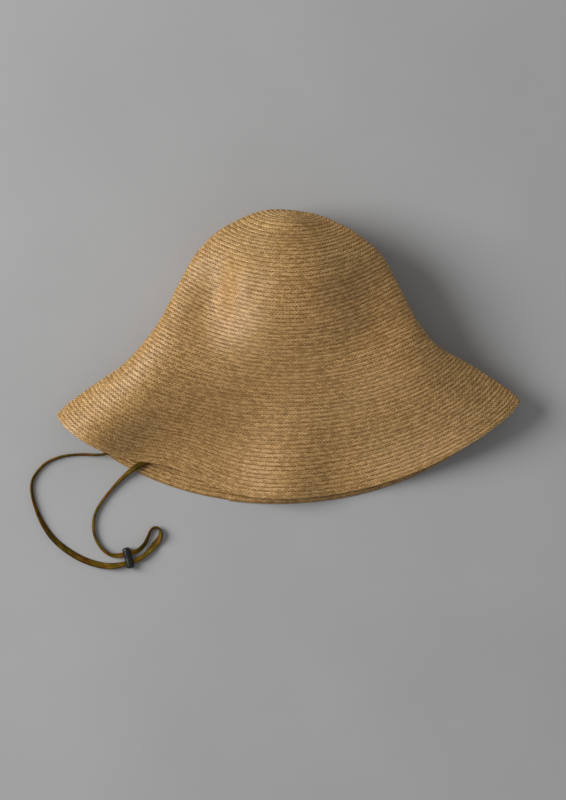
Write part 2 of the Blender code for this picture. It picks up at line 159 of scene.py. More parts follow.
CAMERA_HEIGHT = 3.0
VIEW_HEIGHT = 0.736
VIEW_CENTRE = (-0.0046, -0.0410)
WINDOW_PLACE = (-2.49, 0.50, 1.68)
WINDOW_SIZE = 2.0
WINDOW_POWER = 93
SKY_STRENGTH = 0.29
FLOOR_HALF_SIZE = 6.0


# --------------------------------------------------------------------- the hat's surface


def smooth_curve(points):
    """A cubic through (distance, value) points that never swings past them."""
    at, value = np.array(points, float).T
    step = np.diff(at)
    rise = np.diff(value) / step
    slope = np.concatenate(([rise[0]], np.zeros(len(step) - 1), [rise[-1]]))
    before, after = rise[:-1], rise[1:]
    same_way = before * after > 0
    slope[1:-1][same_way] = (2 * before * after)[same_way] / (before + after)[same_way]

    def value_at(distance):
        d = np.clip(distance, at[0], at[-1])
        i = np.clip(np.searchsorted(at, d, side="right") - 1, 0, len(step) - 1)
        u = (d - at[i]) / step[i]
        ends = value[i] * (1 + 2 * u) * (1 - u) ** 2 + value[i + 1] * u * u * (3 - 2 * u)
        return ends + step[i] * (slope[i] * u * (1 - u) ** 2 + slope[i + 1] * u * u * (u - 1))

    return value_at


half_width = smooth_curve(HALF_WIDTH)
middle_x = smooth_curve(MIDDLE_X)
fold_y = smooth_curve(FOLD_Y)
fold_z = smooth_curve(FOLD_Z)
right_fold_ahead = smooth_curve(RIGHT_FOLD_AHEAD)
right_fold_up = smooth_curve(RIGHT_FOLD_UP)
front_y = smooth_curve(FRONT_Y)
front_z = smooth_curve(FRONT_Z)
back_y = smooth_curve(BACK_Y)
back_z = smooth_curve(BACK_Z)
arch = smooth_curve(ARCH)
shoulders = smooth_curve(SHOULDERS)
round_tip = smooth_curve(ROUND_TIP)
square_rows = smooth_curve(SQUARE_ROWS)
fold_corner = smooth_curve(FOLD_CORNER)


def swell(distance, across, shape):
    """One soft bump: shape is its distance, place across, length, width and height."""
    at, place, length, width, height = shape
    return height * np.exp(-(((distance - at) / length) ** 2) - ((across - place) / width) ** 2)


def outer_face(distance, angle):
    """Points of the hat's outer face, in mm, for arrays of distance and angle (radians)."""
    s, a = np.broadcast_arrays(np.asarray(distance, float), np.asarray(angle, float))
    across = -np.cos(a)
    lift = np.abs(np.sin(a))
    front = np.sin(a) >= 0
    tip = round_tip(s)

    row_bow = tip * lift + (1 - tip) * lift**2 * (1 + square_rows(s) * (1 - lift**2))
    x = middle_x(s) + half_width(s) * across
    y = fold_y(s) + right_fold_ahead(s) * across
    y = y + (np.where(front, front_y(s), back_y(s)) - fold_y(s)) * row_bow
    corner = swell(s, across, EDGE_DRAWN_IN) * lift - fold_corner(s) * lift * (1 - lift**2) ** 4
    y = y + np.where(front, corner, 0)

    side_z = fold_z(s) + right_fold_up(s) * ((1 + across) / 2) ** 3
    rise = (arch(s) * lift + (1 - arch(s)) * lift**2) * (1 + shoulders(s) * across**2)
    z_front = side_z + (front_z(s) - side_z) * rise
    z_front = z_front + lift * sum(swell(s, across, shape) for shape in SWELLS.values())
    flat = 1 - (1 - np.minimum(1, lift / BACK_FLAT)) ** 2.5
    drop = tip * lift + (1 - tip) * flat
    z_back = side_z - (side_z - back_z(s)) * drop
    return np.stack([x, y, np.where(front, z_front, z_back)], axis=-1)


def outward(distance, angle):
    """Unit normals of the outer face."""
    s = np.clip(distance, 2.0, TIP_TO_EDGE - 0.5)
    along = outer_face(s + 0.5, angle) - outer_face(s - 0.5, angle)
    turn = 0.004
    around = outer_face(s, angle + turn) - outer_face(s, angle - turn)
    normal = np.cross(along, around)
    return normal / np.linalg.norm(normal, axis=-1, keepdims=True)


def below_face(distance, angle, depth):
    """Points a given depth inside the hat's outer face, in mm."""
    return outer_face(distance, angle) - np.expand_dims(depth, -1) * outward(distance, angle)


# ------------------------------------------------------------------------------ mesh helpers


def mesh_from_rows(name, points, along_closed=False, uv=None):
    """A closed mesh from points[section, place, xyz] in mm, with quads between neighbours.

    Places run round each section. The ends are capped unless the sections close into a ring.
    uv[section, place] is kept on the "UVMap" layer."""
    sections, places = points.shape[:2]
    index = np.arange(sections * places).reshape(sections, places)
    rows = sections if along_closed else sections - 1
    i, j = np.meshgrid(np.arange(rows), np.arange(places), indexing="ij")
    i2, j2 = (i + 1) % sections, (j + 1) % places
    quads = np.stack([index[i, j], index[i, j2], index[i2, j2], index[i2, j]], -1).reshape(-1, 4)
    faces = quads.tolist()
    if not along_closed:
        faces += [index[0][::-1].tolist(), index[-1].tolist()]
    data = bpy.data.meshes.new(name)
    data.from_pydata((points.reshape(-1, 3) * MM).tolist(), [], faces)
    if uv is not None:
        layer = data.uv_layers.new(name="UVMap")
        corners = np.empty(len(data.loops), dtype=np.int32)
        data.loops.foreach_get("vertex_index", corners)
        layer.data.foreach_set("uv", uv.reshape(-1, 2)[corners].astype(np.float32).ravel())
    data.shade_smooth()
    return data


def length_along(line):
    """The length travelled at each point of a line."""
    return np.concatenate([[0], np.cumsum(np.linalg.norm(np.diff(line, axis=0), axis=1))])


def unit(vectors):
    """The same directions, each of length 1."""
    return vectors / np.linalg.norm(vectors, axis=-1, keepdims=True)


def add_piece(name, data, finish, body="hat", node=None):
    """One piece of the model: its look, the body that it rides on and the CAD node it replaces."""
    thing = bpy.data.objects.new(name, data)
    bpy.context.collection.objects.link(thing)
    data.materials.append(finish)
    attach(thing, body)
    if node is not None:
        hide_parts(node)
    return thing


# ------------------------------------------------------------------------ material helpers

SOCKETS = {"specular_ior_level": "Specular IOR Level", "sheen": "Sheen Weight"}


class Nodes:
    """Short ways to write a material's nodes."""

    def __init__(self, name):
        self.material = bpy.data.materials.new(name)
        self.material.use_nodes = True
        self.tree = self.material.node_tree
        self.shader = self.tree.nodes["Principled BSDF"]

    def put(self, socket, value):
        if isinstance(value, bpy.types.NodeSocket):
            self.tree.links.new(value, socket)
        else:
            socket.default_value = value

    def math(self, operation, a, b=0.0, c=0.0):
        node = self.tree.nodes.new("ShaderNodeMath")
        node.operation = operation
        for socket, value in zip(node.inputs, (a, b, c)):
            self.put(socket, value)
        return node.outputs[0]

    def uv(self):
        """The along and across coordinates of a strip."""
        source = self.tree.nodes.new("ShaderNodeUVMap")
        source.uv_map = "UVMap"
        split = self.tree.nodes.new("ShaderNodeSeparateXYZ")
        self.put(split.inputs[0], source.outputs[0])
        return split.outputs[0], split.outputs[1]

    def vector(self, x, y=0.0, z=0.0):
        node = self.tree.nodes.new("ShaderNodeCombineXYZ")
        for socket, value in zip(node.inputs, (x, y, z)):
            self.put(socket, value)
        return node.outputs[0]

    def position(self):
        return self.tree.nodes.new("ShaderNodeTexCoord").outputs["Object"]

    def noise(self, vector, scale, detail):
        node = self.tree.nodes.new("ShaderNodeTexNoise")
        self.put(node.inputs["Vector"], vector)
        node.inputs["Scale"].default_value = scale
        node.inputs["Detail"].default_value = detail
        return node.outputs["Fac"]

    def white(self, vector):
        """A random value for each whole-number place."""
        node = self.tree.nodes.new("ShaderNodeTexWhiteNoise")
        self.put(node.inputs["Vector"], vector)
        return node.outputs["Value"]

    def ramp(self, value, stops):
        """stops: (position, colour or grey)."""
        node = self.tree.nodes.new("ShaderNodeValToRGB")
        self.put(node.inputs[0], value)
        elements = node.color_ramp.elements
        while len(elements) < len(stops):
            elements.new(0.5)
        for element, (place, colour) in zip(elements, stops):
            element.position = place
            if isinstance(colour, (int, float)):
                colour = (colour, colour, colour)
            element.color = (*colour, 1.0)
        return node.outputs[0]

    def mix(self, share, a, b, blend="MIX"):
        node = self.tree.nodes.new("ShaderNodeMix")
        node.data_type = "RGBA"
        node.blend_type = blend
        self.put(node.inputs["Factor"], share)
        self.put(node.inputs["A"], a)
        self.put(node.inputs["B"], b)
        return node.outputs["Result"]

    def bump(self, height, distance, strength):
        node = self.tree.nodes.new("ShaderNodeBump")
        self.put(node.inputs["Height"], height)
        node.inputs["Distance"].default_value = distance
        node.inputs["Strength"].default_value = strength
        return node.outputs[0]

    def finish(self, colour, roughness, normal=None, **uniform):
        self.put(self.shader.inputs["Base Color"], colour)
        self.put(self.shader.inputs["Roughness"], roughness)
        if normal is not None:
            self.put(self.shader.inputs["Normal"], normal)
        for name, value in uniform.items():
            self.shader.inputs[SOCKETS[name]].default_value = value
        return self.material


def straw_material():
    """Flat plait of paper straw: three columns of slanted floats, with painted shade in the gaps
    between them.

    The floats of the middle column lean the other way and sit half a plait along."""
    n = Nodes("straw braid")
    along, across = n.uv()
    column = n.math("DIVIDE", across, ROW / 3)
    odd = n.math("MODULO", n.math("FLOOR", column), 2.0)
    from_middle = n.math("SUBTRACT", n.math("FRACT", column), 0.5)
    lean = n.math("MULTIPLY", from_middle, n.math("MULTIPLY_ADD", odd, -2.0 * LEAN, LEAN))
    float_place = n.math("ADD", n.math("DIVIDE", n.math("ADD", along, lean), PLAIT),
                         n.math("MULTIPLY", odd, 0.5))
    share = n.math("FRACT", float_place)
    hump = n.math("POWER", n.math("SINE", n.math("MULTIPLY", share, math.pi)), 0.7)
    ends = n.math("POWER", n.math("ABSOLUTE", n.math("MULTIPLY", from_middle, 2.0)), 3.0)
    rounded = n.math("MULTIPLY", hump, n.math("MULTIPLY_ADD", ends, -0.45, 1.0))

    grain = n.noise(n.vector(along, n.math("MULTIPLY", across, 1.2)), 1.45, 3)
    fibre = n.noise(n.vector(n.math("MULTIPLY", along, 0.7), n.math("MULTIPLY", across, 6.0)), 1.5, 2)
    own = n.white(n.vector(n.math("FLOOR", float_place), n.math("FLOOR", column)))
    drift = n.noise(n.vector(n.math("MULTIPLY", along, 0.006), 0.0), 1.0, 3)
    patch = n.noise(n.position(), 14.0, 2)

    # Painted light and shade: each float is lighter on its rounded top and darker towards its ends and
    # sides, which paints the gaps between floats dark.
    tone = n.math("MULTIPLY_ADD", rounded, 0.34, n.math("MULTIPLY_ADD", grain, 0.9, -0.07))
    tone = n.math("MULTIPLY_ADD", own, 0.24, tone)
    colour = n.ramp(tone, [(0.34, (0.062, 0.024, 0.003)), (0.56, (0.260, 0.132, 0.028)),
                           (0.78, (0.515, 0.296, 0.096)), (0.98, (0.765, 0.490, 0.225))])
    colour = n.mix(1.0, colour, n.ramp(drift, [(0.3, 0.93), (0.7, 1.07)]), "MULTIPLY")
    colour = n.mix(1.0, colour, n.ramp(patch, [(0.35, (1.01, 0.99, 0.98)),
                                               (0.65, (0.99, 1.01, 1.0))]), "MULTIPLY")
    colour = n.mix(1.0, colour, n.mix(0.5, n.ramp(fibre, [(0.3, 0.8), (0.7, 1.2)]), (1, 1, 1, 1)),
                   "MULTIPLY")
    # The crevice under the row before is in shade whichever way the light falls.
    wobble = n.math("MULTIPLY_ADD", hump, -0.035, across)
    place = n.math("DIVIDE", wobble, ROW)
    crevice = n.ramp(place, [(0.00, (0.60, 0.48, 0.34)), (0.07, (0.68, 0.57, 0.43)), (0.17, 1.0)])
    colour = n.mix(1.0, colour, crevice, "MULTIPLY")

    rough = n.ramp(fibre, [(0.3, 0.36), (0.7, 0.48)])
    height = n.math("MULTIPLY_ADD", grain, 0.35, n.math("MULTIPLY_ADD", fibre, 0.25, rounded))
    return n.finish(colour, rough, n.bump(height, 0.0002, 0.8), specular_ior_level=0.6)


def ribbon_material():
    """Grosgrain: the ribs are in the mesh; fine warp threads run along the ribbon."""
    n = Nodes("grosgrain ribbon")
    along, across = n.uv()
    thread = n.noise(n.vector(n.math("MULTIPLY", along, 0.5), n.math("MULTIPLY", across, 6.0)), 1.4, 3)
    cloud = n.noise(n.vector(along, across), 0.08, 2)
    # Painted light and shade: the colour turns lighter and darker in step with the ribs.
    rib = n.math("ABSOLUTE", n.math("SINE", n.math("MULTIPLY", along, math.pi / RIB)))
    tone = n.math("MULTIPLY_ADD", thread, 0.5, n.math("MULTIPLY_ADD", rib, 0.25,
                                                      n.math("MULTIPLY", cloud, 0.3)))
    colour = n.ramp(tone, [(0.25, (0.13, 0.075, 0.030)), (0.55, (0.26, 0.165, 0.075)),
                           (0.85, (0.38, 0.255, 0.130))])
    return n.finish(colour, 0.8, n.bump(tone, 0.0002, 0.6), sheen=0.15)


def thread_material():
    n = Nodes("sewing thread")
    twist = n.noise(n.position(), 3000, 2)
    colour = n.ramp(twist, [(0.3, (0.24, 0.14, 0.055)), (0.7, (0.42, 0.27, 0.12))])
    return n.finish(colour, 0.7, n.bump(twist, 0.0001, 0.5))


def label_material():
    """A plain tightly woven label with a darker woven line along each long edge."""
    n = Nodes("woven label")
    along, across = n.uv()
    warp = n.math("SINE", n.math("MULTIPLY", along, 2 * math.pi / 0.5))
    weft = n.math("SINE", n.math("MULTIPLY", across, 2 * math.pi / 0.4))
    weave = n.math("MULTIPLY_ADD", n.math("MULTIPLY", warp, weft), 0.25, 0.5)
    slub = n.noise(n.vector(n.math("MULTIPLY", along, 0.3), n.math("MULTIPLY", across, 3.0)), 1.5, 2)
    tone = n.math("MULTIPLY_ADD", weave, 0.5, n.math("MULTIPLY", slub, 0.5))
    colour = n.ramp(tone, [(0.3, (0.52, 0.46, 0.36)), (0.7, (0.80, 0.75, 0.65))])
    half = (LABEL_ROWS[1] - LABEL_ROWS[0]) / 2
    from_middle = n.math("ABSOLUTE", n.math("SUBTRACT", across, half))
    line = n.ramp(n.math("DIVIDE", from_middle, half), [(0.80, 1.0), (0.83, 0.55), (0.90, 0.55),
                                                       (0.93, 1.0)])
    colour = n.mix(1.0, colour, line, "MULTIPLY")
    return n.finish(colour, 0.75, n.bump(tone, 0.0001, 0.6))


def lace_material():
    """Suede: short nap, darker towards its edges, olive and tan clouds where it has been rubbed."""
    n = Nodes("suede lace")
    along, across = n.uv()
    nap = n.noise(n.vector(along, across), 2.4, 4)
    cloud = n.noise(n.vector(n.math("MULTIPLY", along, 0.10), n.math("MULTIPLY", across, 0.25)), 1.0, 2)
    tint = n.noise(n.vector(n.math("MULTIPLY", along, 0.06), 3.0), 1.0, 2)
    tone = n.math("MULTIPLY_ADD", nap, 0.45, n.math("MULTIPLY", cloud, 0.55))
    olive = n.ramp(tone, [(0.30, (0.030, 0.017, 0.0005)), (0.50, (0.095, 0.058, 0.0015)),
                          (0.70, (0.215, 0.140, 0.008))])
    tan = n.ramp(tone, [(0.30, (0.045, 0.016, 0.001)), (0.50, (0.140, 0.055, 0.004)),
                        (0.70, (0.290, 0.125, 0.020))])
    colour = n.mix(n.ramp(tint, [(0.46, 0.0), (0.60, 1.0)]), olive, tan)
    # The colour is darker towards the lace's edges.
    darker_towards_edges = n.ramp(n.math("DIVIDE", n.math("ABSOLUTE", across), LACE_WIDTH / 2),
                  [(0.62, 1.0), (0.97, 0.35)])
    colour = n.mix(1.0, colour, darker_towards_edges, "MULTIPLY")
    return n.finish(colour, 0.75, n.bump(nap, 0.0002, 0.6), specular_ior_level=0.1)


def bead_material():
    n = Nodes("bead plastic")
    wear = n.noise(n.position(), 900, 3)
    colour = n.ramp(wear, [(0.3, (0.003, 0.005, 0.003)), (0.75, (0.009, 0.013, 0.009))])
    rough = n.ramp(wear, [(0.3, 0.30), (0.7, 0.42)])
    return n.finish(colour, rough, n.bump(wear, 0.00005, 0.4))


# ------------------------------------------------------------------------------ the pieces


def braid_line():
    """Angles (growing turn by turn) of the braid's sections, and the length along it."""
    full = math.floor(TIP_TO_EDGE / ROW) + END_ANGLE / 360
    start = full - END_OVERLAP - TIP_TO_EDGE / ROW + 1
    dense = np.linspace(start, full, 32000) * 2 * math.pi
    line = outer_face(row_top(dense) + ROW, dense)
    length = length_along(line)
    even = np.arange(0, length[-1], PLAIT / 2)
    return np.interp(even, length, dense), even


def turns_before_level(angles):
    """Turns still to go before the braid's free edge reaches the brim's edge."""
    level = math.floor(TIP_TO_EDGE / ROW) + END_ANGLE / 360 - END_OVERLAP
    return level - angles / (2 * math.pi)


def row_top(angles):
    """Distance from the tip of the visible row's top edge."""
    return TIP_TO_EDGE - SCALLOP - ROW * (1 + np.maximum(turns_before_level(angles), 0))


def build_braid(name, angles, along, first, node, finish):
    """A stretch of the spiral braid; first is the number of its first section."""
    top = row_top(angles)
    slid_under = np.maximum(-turns_before_level(angles), 0)
    swing = np.where((first + np.arange(len(angles))) % 2 == 0, -1.0, 1.0)
    places = []
    uvs = []
    for across, depth, relief, scallop in OUTER_SECTION + INNER_SECTION:
        distance = np.clip(top + across + SCALLOP * scallop * swing, CENTRE, TIP_TO_EDGE)
        sunk = depth - PLAIT_RELIEF * relief * swing + SLIDES_UNDER_BY * slid_under
        places.append(below_face(distance, angles, sunk))
        on_inner_face = len(places) > len(OUTER_SECTION)
        place = ROW - TUCK - across if on_inner_face else across
        uvs.append(np.stack([along, np.full(len(along), place)], -1))
    points = np.stack(places, axis=1)
    uv = np.stack(uvs, axis=1)
    return add_piece(name, mesh_from_rows(name, points, uv=uv), finish, node=node)


def smooth_route(points, spacing):
    """Evenly spaced points along a smooth curve through the route's own points."""
    route = np.array(points, float)
    padded = np.vstack([2 * route[0] - route[1], route, 2 * route[-1] - route[-2]])
    spans = np.linalg.norm(np.diff(padded, axis=0), axis=1)
    knots = np.concatenate([[0], np.cumsum(np.sqrt(spans))])
    dense = []
    for i in range(1, len(padded) - 2):
        p0, p1, p2, p3 = padded[i - 1 : i + 3]
        t0, t1, t2, t3 = knots[i - 1 : i + 3]
        for t in np.linspace(t1, t2, 24, endpoint=False):
            a1 = (p0 * (t1 - t) + p1 * (t - t0)) / (t1 - t0)
            a2 = (p1 * (t2 - t) + p2 * (t - t1)) / (t2 - t1)
            a3 = (p2 * (t3 - t) + p3 * (t - t2)) / (t3 - t2)
            b1 = (a1 * (t2 - t) + a2 * (t - t0)) / (t2 - t0)
            b2 = (a2 * (t3 - t) + a3 * (t - t1)) / (t3 - t1)
            dense.append((b1 * (t2 - t) + b2 * (t - t1)) / (t2 - t1))
    dense = np.array(dense + [route[-1]])
    length = length_along(dense)
    even = np.linspace(0, length[-1], int(length[-1] / spacing) + 1)
    return np.stack([np.interp(even, length, dense[:, k]) for k in range(3)], axis=1), even


def back_layer_near(points):
    """The nearest place on the back layer's inner face to each point, and its inward normal."""
    distances = np.linspace(HEAD_LINE - 40, TIP_TO_EDGE, 80)[:, None]
    angles = np.radians(np.linspace(182, 358, 118))[None, :]
    face = below_face(distances, angles, STRAW).reshape(-1, 3)
    inward = -outward(distances, angles).reshape(-1, 3)
    nearest = [int(((face - point) ** 2).sum(axis=1).argmin()) for point in points]
    return face[nearest], inward[nearest]


def softened(values, window):
    """Values along a line, each the average of those around it."""
    ends = [values[:1].repeat(window // 2, axis=0), values, values[-1:].repeat(window // 2, axis=0)]
    padded = np.concatenate(ends)
    return np.mean([padded[k : k + len(values)] for k in range(window)], axis=0)


def build_lace(finish):
    """The flat suede lace: it follows the straw inside the hat and stands on edge in its bends."""
    line, along = smooth_route(CORD_ROUTE, LACE_SPACING)
    line[2:-2] = softened(line, 5)[2:-2]
    share = along / along[-1]
    turn = np.radians(smooth_curve([(at, degrees) for at, degrees, _ in LACE_LIE])(share))
    width = LACE_WIDTH * smooth_curve([(at, narrow) for at, _, narrow in LACE_LIE])(share)
    thickness = LACE_THICKNESS * (1.9 - 0.9 * width / LACE_WIDTH)
    half_height = np.abs(np.sin(turn)) * width / 2 + np.abs(np.cos(turn)) * thickness / 2

    face, inward = back_layer_near(line)
    inside = np.clip(3.5 - np.linalg.norm(line - face, axis=1) / 2, 0, 1)[:, None]
    hover = ((line - face) * inward).sum(axis=1) - half_height - ABOVE_STRAW
    line = line - softened(inside * hover[:, None] * inward, 13)
    lifted = softened(np.maximum(half_height + ABOVE_FLOOR - line[:, 2], 0)[:, None], 5)[:, 0]
    line[:, 2] = np.maximum(line[:, 2] + lifted, half_height + ABOVE_FLOOR)
    inward = unit(softened(inward, 9))

    heading = unit(np.gradient(line, axis=0))
    side = unit(np.cross(heading, unit(inside * inward + (1 - inside) * [0, 0, 1.0])))
    up = np.cross(side, heading)
    wide = np.cos(turn)[:, None] * side + np.sin(turn)[:, None] * up
    thick = np.cross(wide, heading)
    a = 2 * math.pi * (np.arange(14) + 0.5) / 14
    outline = np.stack([np.copysign(np.abs(np.cos(a)) ** 0.5, np.cos(a)),
                        np.copysign(np.abs(np.sin(a)) ** 0.7, np.sin(a))], -1)
    across = outline[None, :, 0] * width[:, None] / 2
    points = line[:, None] + across[..., None] * wide[:, None]
    points = points + (outline[None, :, 1:] * thickness[:, None, None] / 2) * thick[:, None]
    uv = np.stack([np.broadcast_to(along[:, None], across.shape), across], -1)
    lace = add_piece("chin_cord_lace", mesh_from_rows("chin_cord_lace", points, uv=uv), finish,
                     node="chin_cord")
    return lace, line, along[-1]


# ------------------------------------------------------------------------------ the bead


def bead_barrel():
    """Rings of a barrel along Y: rounded ends, and a faint waist between the two holes."""
    rings = []
    for place in np.linspace(-1, 1, 41):
        end = max(0.0, abs(place) - 0.72) / 0.28
        along = BEAD_LENGTH / 2 * (place if end == 0 else math.copysign(0.72 + 0.28 * math.sin(
            end * math.pi / 2), place))
        radius = BEAD_RADIUS * (1 - 0.62 * (1 - math.cos(end * math.pi / 2)) ** 1.2)
        radius -= 0.16 * math.exp(-((place / 0.22) ** 2))
        rings.append([(radius * math.cos(a), along, radius * math.sin(a))
                      for a in np.linspace(0, 2 * math.pi, 48, endpoint=False)])
    return np.array(rings)


def bead_hole(offset):
    """Rings of an oval bar along X that cuts one hole."""
    rings = []
    for x in (-1.5 * BEAD_RADIUS, 1.5 * BEAD_RADIUS):
        ring = []
        for a in np.linspace(0, 2 * math.pi, 28, endpoint=False):
            across = math.copysign(abs(math.cos(a)) ** 0.7, math.cos(a)) * BEAD_HOLE[0] / 2
            ring.append((x, offset + across, math.sin(a) * BEAD_HOLE[1] / 2))
        rings.append(ring)
    return np.array(rings)


def build_bead(finish):
    """The moulded bead: a barrel with two oval holes whose rims are rounded."""
    barrel = bpy.data.objects.new("barrel", mesh_from_rows("barrel", bead_barrel()))
    bpy.context.collection.objects.link(barrel)
    cutters = []
    for side in (-1, 1):
        data = mesh_from_rows("hole", bead_hole(side * BEAD_HOLE_SPACING / 2))
        cutter = bpy.data.objects.new("hole", data)
        bpy.context.collection.objects.link(cutter)
        cut = barrel.modifiers.new("hole", "BOOLEAN")
        cut.object = cutter
        cutters.append(cutter)
    rim = barrel.modifiers.new("rim", "BEVEL")
    rim.width = 0.35 * MM
    rim.segments = 3
    rim.limit_method = "ANGLE"
    rim.angle_limit = math.radians(45)
    bpy.context.view_layer.update()
    evaluated = barrel.evaluated_get(bpy.context.evaluated_depsgraph_get())
    data = bpy.data.meshes.new_from_object(evaluated)
    for spare in [barrel] + cutters:
        bpy.data.objects.remove(spare, do_unlink=True)
    data.materials.clear()
    data.transform(Matrix.Translation(Vector(BEAD_CENTRE) * MM)
                   @ Matrix.Rotation(math.radians(BEAD_TURN), 4, "Z"))
    data.shade_smooth()
    return add_piece("cord_bead", data, finish, body="slider", node="cord_slider")


# ------------------------------------------------------------------------- inside the hat


def even_angles(distance, spacing, start=0.0, end=360.0):
    """Angles (radians) spaced evenly in mm along a ring of the hat, and the length at each.

    start and end are in degrees."""
    dense = np.radians(np.linspace(start, end, 2000))
    line = outer_face(distance, dense)
    length = length_along(line)
    count = max(2, int(length[-1] / spacing / 2) * 2)
    even = np.linspace(0, length[-1], count + 1)
    return np.interp(even, length, dense), even


def ribbed_strip(name, angles, along, rows, near, far, closed, hem=0.0):
    """A grosgrain strip lying round the inside: ribs across it, thicker hems at its ends."""
    places = []
    uvs = []
    rib = RIB_RELIEF * np.where(np.arange(len(angles)) % 2 == 0, 1.0, -1.0)
    edge = 0.0
    if hem:
        edge = 0.25 * (np.minimum(along, along[-1] - along) < hem)
    low, high = rows
    outline = [(low + 0.3, near, 0), (low, near + 0.25, 0), (low, far - 0.3, 0), (low + 0.35, far, 0.5)]
    outline += [(low + (high - low) * k / 6, far, 1.0) for k in range(1, 6)]
    outline += [(high - 0.35, far, 0.5), (high, far - 0.3, 0), (high, near + 0.25, 0),
                (high - 0.3, near, 0)]
    for distance, depth, share in outline:
        deep = depth + share * (rib + edge)
        places.append(below_face(np.full(len(angles), distance), angles, deep))
        uvs.append(np.stack([along, np.full(len(along), distance - low)], -1))
    points = np.stack(places, axis=1)
    return mesh_from_rows(name, points, along_closed=closed, uv=np.stack(uvs, axis=1))


def stitch_row(path, normals, length=2.4, gap=1.3, radius=0.24):
    """Separate short stitches along a path, each dipping into the cloth at its two ends."""
    travelled = length_along(path)
    stitches = []
    start = 0.3
    while start + length < travelled[-1]:
        at = start + length * np.array([0, 0.2, 0.5, 0.8, 1.0])
        centre = np.stack([np.interp(at, travelled, path[:, k]) for k in range(3)], -1)
        normal = unit(np.stack([np.interp(at, travelled, normals[:, k]) for k in range(3)], -1))
        centre = centre + normal * (np.array([-0.35, 0.02, 0.16, 0.02, -0.35]))[:, None]
        heading = unit(np.gradient(centre, axis=0))
        side = unit(np.cross(heading, normal))
        up = np.cross(side, heading)
        ring = [math.cos(a) * side + math.sin(a) * up
                for a in np.linspace(0, 2 * math.pi, 7, endpoint=False)]
        stitches.append(centre[:, None] + radius * np.stack(ring, axis=1))
        start += length + gap
    return stitches


def build_stitches(name, rows, finish):
    """One piece from many stitches."""
    points = []
    faces = []
    for stitch in rows:
        sections, places = stitch.shape[:2]
        first = len(points)
        points += stitch.reshape(-1, 3).tolist()
        index = first + np.arange(sections * places).reshape(sections, places)
        turned = np.roll(index, -1, axis=1)
        quads = np.stack([index[:-1], turned[:-1], turned[1:], index[1:]], -1).reshape(-1, 4)
        faces += quads.tolist() + [index[0][::-1].tolist(), index[-1].tolist()]
    data = bpy.data.meshes.new(name)
    data.from_pydata((np.array(points) * MM).tolist(), [], faces)
    data.shade_smooth()
    return add_piece(name, data, finish)


def inside_path(distance, angles, depth):
    """A path on a face inside the hat, with its inward normals."""
    distance, angles = np.broadcast_arrays(np.asarray(distance, float), angles)
    return below_face(distance, angles, depth), -outward(distance, angles)


def build_sweatband(ribbon, thread):
    angles, along = even_angles(sum(BAND_ROWS) / 2, RIB / 2)
    add_piece("sweatband_ribbon", ribbed_strip("sweatband_ribbon", angles[:-1], along[:-1], BAND_ROWS,
                                               BAND_NEAR, BAND_FAR, True),
              ribbon, node="sweatband")
    path, normals = inside_path(BAND_ROWS[1] - 2.0, angles, BAND_FAR)
    build_stitches("sweatband_stitches", stitch_row(path, normals, 3.0, 1.6), thread)


def mm_per_radian(distance, angle):
    """How far apart in mm two places a radian apart would be, going by those close to angle."""
    turn = 0.01
    step = outer_face(distance, angle + turn) - outer_face(distance, angle - turn)
    return float(np.linalg.norm(step)) / (2 * turn)


def patch_angles(middle, width, distance, spacing):
    """Even angles over a patch of the given width round the head; middle is in degrees."""
    half = math.degrees(width / 2 / mm_per_radian(distance, math.radians(middle)))
    return even_angles(distance, spacing, middle - half, middle + half)


def sewn_edges(angles, along, inset, ends, depth, length, gap, radius):
    """Stitches down both ends of a patch, inset mm from each; ends are the rows they run between."""
    stitches = []
    for edge in (inset, along[-1] - inset):
        place = np.full(60, np.interp(edge, along, angles))
        path, normals = inside_path(np.linspace(*ends, 60), place, depth)
        stitches += stitch_row(path, normals, length, gap, radius)
    return stitches


def build_join(ribbon, thread):
    """The short cover over the sweatband's two ends, hemmed and sewn down both sides."""
    rows = (BAND_ROWS[0] + 1.5, BAND_ROWS[1] - 1.5)
    angles, along = patch_angles(JOIN_ANGLE, JOIN_WIDTH, sum(rows) / 2, RIB / 2)
    add_piece("join_cover", ribbed_strip("join_cover", angles, along, rows, SEWN_ON_NEAR,
                                         SEWN_ON_NEAR + 0.75, False, hem=2.5),
              ribbon, node="sweatband_join")
    stitches = sewn_edges(angles, along, 1.2, (rows[0] + 1, rows[1] - 1), SEWN_ON_NEAR + 1.0,
                          1.8, 1.1, 0.24)
    build_stitches("join_stitches", stitches, thread)


def build_label(label, thread):
    """A plain woven label with its two ends folded under and sewn down."""
    rows = LABEL_ROWS
    angles, along = patch_angles(LABEL_ANGLE, LABEL_WIDTH, sum(rows) / 2, 0.5)
    add_piece("woven_label", ribbed_strip("woven_label", angles, along, rows, SEWN_ON_NEAR,
                                          SEWN_ON_NEAR + 0.4, False, hem=3.0),
              label, node="size_label")
    stitches = sewn_edges(angles, along, 1.3, (rows[0] + 0.6, rows[1] - 0.6), SEWN_ON_NEAR + 0.65,
                          1.5, 0.9, 0.18)
    build_stitches("label_stitches", stitches, thread)


